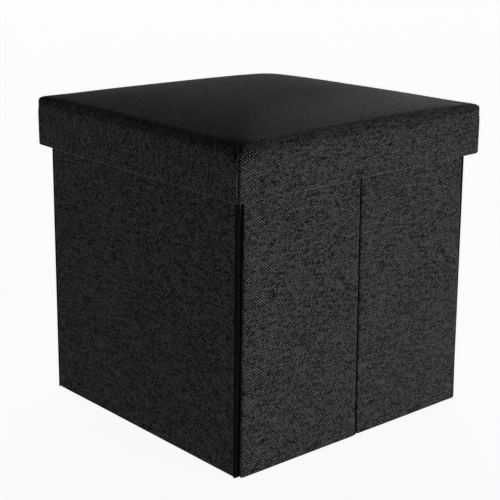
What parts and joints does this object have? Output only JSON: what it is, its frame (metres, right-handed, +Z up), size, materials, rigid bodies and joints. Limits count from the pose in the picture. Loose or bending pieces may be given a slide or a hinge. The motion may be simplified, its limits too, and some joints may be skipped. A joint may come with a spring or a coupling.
{
  "type": "storage ottoman",
  "caption": "Cube-shaped fabric storage ottoman with a padded lift-off lid, hinged base board and creased walls that fold flat.",
  "frame": {"origin": "on the floor, under the middle of the cube", "axes": "+Z up, -Y towards the creased front wall, -X towards the whole left wall that the base board is hinged to"},
  "size_m": [0.38, 0.38, 0.384],
  "materials": {
    "outer_fabric": "charcoal linen-look weave, matte",
    "black_lining": "black non-woven, matte with a pressed dimple pattern",
    "fibreboard": "raw fibreboard, matte",
    "foam": "open-cell foam, matte",
    "ribbon": "woven black ribbon, satin"
  },
  "bodies": {
    "left_wall": {"left_wall_board": "fibreboard", "left_wall_cover": "outer_fabric", "left_wall_lining": "black_lining", "left_wall_hem": "outer_fabric", "front_left_corner_gusset": "outer_fabric", "back_left_corner_gusset": "outer_fabric"},
    "front_left_half": {"front_left_half_board": "fibreboard", "front_left_half_cover": "outer_fabric", "front_left_half_lining": "black_lining", "front_left_half_hem": "outer_fabric", "front_crease_gusset": "outer_fabric"},
    "front_right_half": {"front_right_half_board": "fibreboard", "front_right_half_cover": "outer_fabric", "front_right_half_lining": "black_lining", "front_right_half_hem": "outer_fabric"},
    "right_wall": {"right_wall_board": "fibreboard", "right_wall_cover": "outer_fabric", "right_wall_lining": "black_lining", "right_wall_hem": "outer_fabric", "front_right_corner_gusset": "outer_fabric", "back_right_corner_gusset": "outer_fabric"},
    "back_left_half": {"back_left_half_board": "fibreboard", "back_left_half_cover": "outer_fabric", "back_left_half_lining": "black_lining", "back_left_half_hem": "outer_fabric", "back_crease_gusset": "outer_fabric"},
    "back_right_half": {"back_right_half_board": "fibreboard", "back_right_half_cover": "outer_fabric", "back_right_half_lining": "black_lining", "back_right_half_hem": "outer_fabric"},
    "base_flap": {"base_board": "fibreboard", "base_sleeve": "black_lining", "base_hinge_tape": "black_lining", "base_pull_tab": "ribbon"},
    "lid": {"lid_cover": "outer_fabric", "lid_foam_pad": "foam", "lid_top_board": "fibreboard", "lid_lining": "black_lining", "lid_rim_left": "fibreboard", "lid_rim_right": "fibreboard", "lid_rim_front": "fibreboard", "lid_rim_back": "fibreboard"}
  },
  "joints": [
    {"name": "lid_lift", "type": "slide", "parent": "left_wall", "child": "lid", "axis": [0, 0, 1], "range_m": [0, 0.4]},
    {"name": "base_flap_hinge", "type": "hinge", "parent": "left_wall", "child": "base_flap", "pos_m": [-0.1715, 0, 0.0051], "axis": [0, -1, 0], "range_deg": [0, 90]},
    {"name": "wall_fold", "type": "hinge", "parent": "left_wall", "child": "front_left_half", "pos_m": [-0.1653, -0.1723, 0.18], "axis": [0, 0, 1], "range_deg": [0, 90], "deforming": ["front_left_half_hem"]},
    {"name": "front_crease", "type": "hinge", "parent": "front_left_half", "child": "front_right_half", "pos_m": [0, -0.1819, 0.18], "axis": [0, 0, 1], "range_deg": [-180, 0], "deforming": ["front_right_half_hem"]},
    {"name": "right_front_corner", "type": "hinge", "parent": "front_right_half", "child": "right_wall", "pos_m": [0.1653, -0.1723, 0.18], "axis": [0, 0, 1], "range_deg": [0, 90], "deforming": ["right_wall_hem"]},
    {"name": "left_back_corner", "type": "hinge", "parent": "left_wall", "child": "back_left_half", "pos_m": [-0.1653, 0.1723, 0.18], "axis": [0, 0, 1], "range_deg": [-90, 0], "deforming": ["back_left_half_hem"]},
    {"name": "back_crease", "type": "hinge", "parent": "back_left_half", "child": "back_right_half", "pos_m": [0, 0.1819, 0.18], "axis": [0, 0, 1], "range_deg": [0, 180], "deforming": ["back_right_half_hem"]}
  ],
  "couplings": [
    {"joint": "front_crease", "follows": "wall_fold", "ratio": -2},
    {"joint": "right_front_corner", "follows": "wall_fold", "ratio": 1},
    {"joint": "left_back_corner", "follows": "wall_fold", "ratio": -1},
    {"joint": "back_crease", "follows": "wall_fold", "ratio": 2}
  ]
}
